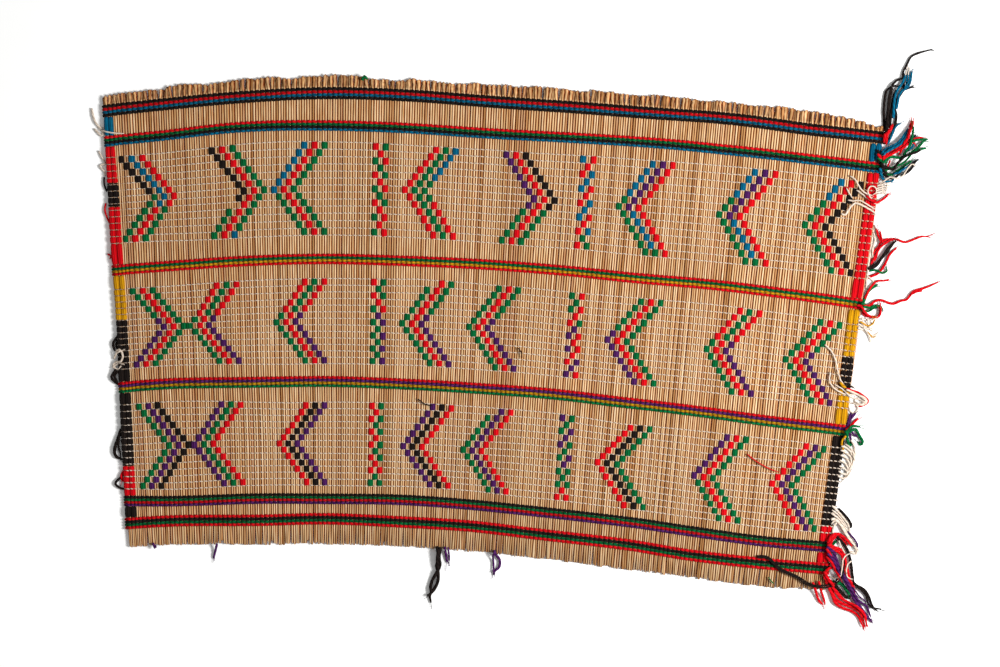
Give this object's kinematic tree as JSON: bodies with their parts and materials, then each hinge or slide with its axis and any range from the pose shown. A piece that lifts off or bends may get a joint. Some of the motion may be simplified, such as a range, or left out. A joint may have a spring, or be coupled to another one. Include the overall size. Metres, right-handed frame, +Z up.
{
  "type": "twined rush mat",
  "caption": "Small rectangular mat of straight rush stalks twined with coloured yarn in bands, with wrapped side edges and loose yarn ends.",
  "frame": {"origin": "centre of the bounding box, on the surface that the mat lies on", "axes": "+X runs along the bands of yarn towards the side with the longer loose ends, +Y along the stalks towards the folded head hem, +Z up out of the mat's face"},
  "size_m": [0.6798, 0.463, 0.0048],
  "materials": {
    "straw": "dry split rush, matt with a faint sheen",
    "red_yarn": "matt twisted wool yarn",
    "green_yarn": "matt twisted wool yarn",
    "blue_yarn": "matt twisted wool yarn",
    "purple_yarn": "matt twisted wool yarn",
    "yellow_yarn": "matt twisted wool yarn",
    "black_yarn": "matt twisted wool yarn",
    "cream_thread": "matt cotton thread"
  },
  "bodies": {
    "root": {"ends_band_a": "black_yarn", "ends_band_b": "green_yarn", "ends_band_c": "red_yarn", "ends_band_d": "green_yarn", "ends_corner": "red_yarn", "ends_cream_1_foot": "red_yarn", "ends_cream_1_head": "cream_thread", "ends_cream_2_foot": "cream_thread", "ends_cream_2_head": "cream_thread", "ends_cream_3_foot": "cream_thread", "ends_cream_3_head": "cream_thread", "ends_foot_a": "purple_yarn", "ends_foot_b": "black_yarn", "ends_foot_c": "purple_yarn", "ends_left_a": "cream_thread", "ends_left_b": "cream_thread", "ends_left_c": "cream_thread", "ends_left_d": "black_yarn", "row_a1": "black_yarn", "row_a2": "red_yarn", "row_a3": "blue_yarn", "row_a4": "black_yarn", "row_b1": "red_yarn", "row_b2": "green_yarn", "row_b3": "black_yarn", "row_b4": "blue_yarn", "row_c1": "red_yarn", "row_c2": "green_yarn", "row_c3": "yellow_yarn", "row_c4": "red_yarn", "row_d1": "red_yarn", "row_d2": "purple_yarn", "row_d3": "yellow_yarn", "row_d4": "green_yarn", "row_e1": "black_yarn", "row_e2": "green_yarn", "row_e3": "red_yarn", "row_e4": "purple_yarn", "row_f1": "red_yarn", "row_f2": "black_yarn", "row_f3": "green_yarn", "row_f4": "red_yarn", "stalks": "straw", "wrap_left_1": "blue_yarn", "wrap_left_2": "red_yarn", "wrap_left_3": "black_yarn", "wrap_left_4": "red_yarn", "wrap_left_5": "yellow_yarn", "wrap_left_6": "black_yarn", "wrap_left_7": "black_yarn", "wrap_left_8": "red_yarn", "wrap_left_9": "black_yarn", "wrap_right_1": "blue_yarn", "wrap_right_2": "red_yarn", "wrap_right_3": "yellow_yarn", "wrap_right_4": "black_yarn", "wrap_right_5": "yellow_yarn", "wrap_right_6": "black_yarn", "wrap_right_7": "red_yarn", "wrap_right_8": "red_yarn"}
  },
  "joints": []
}
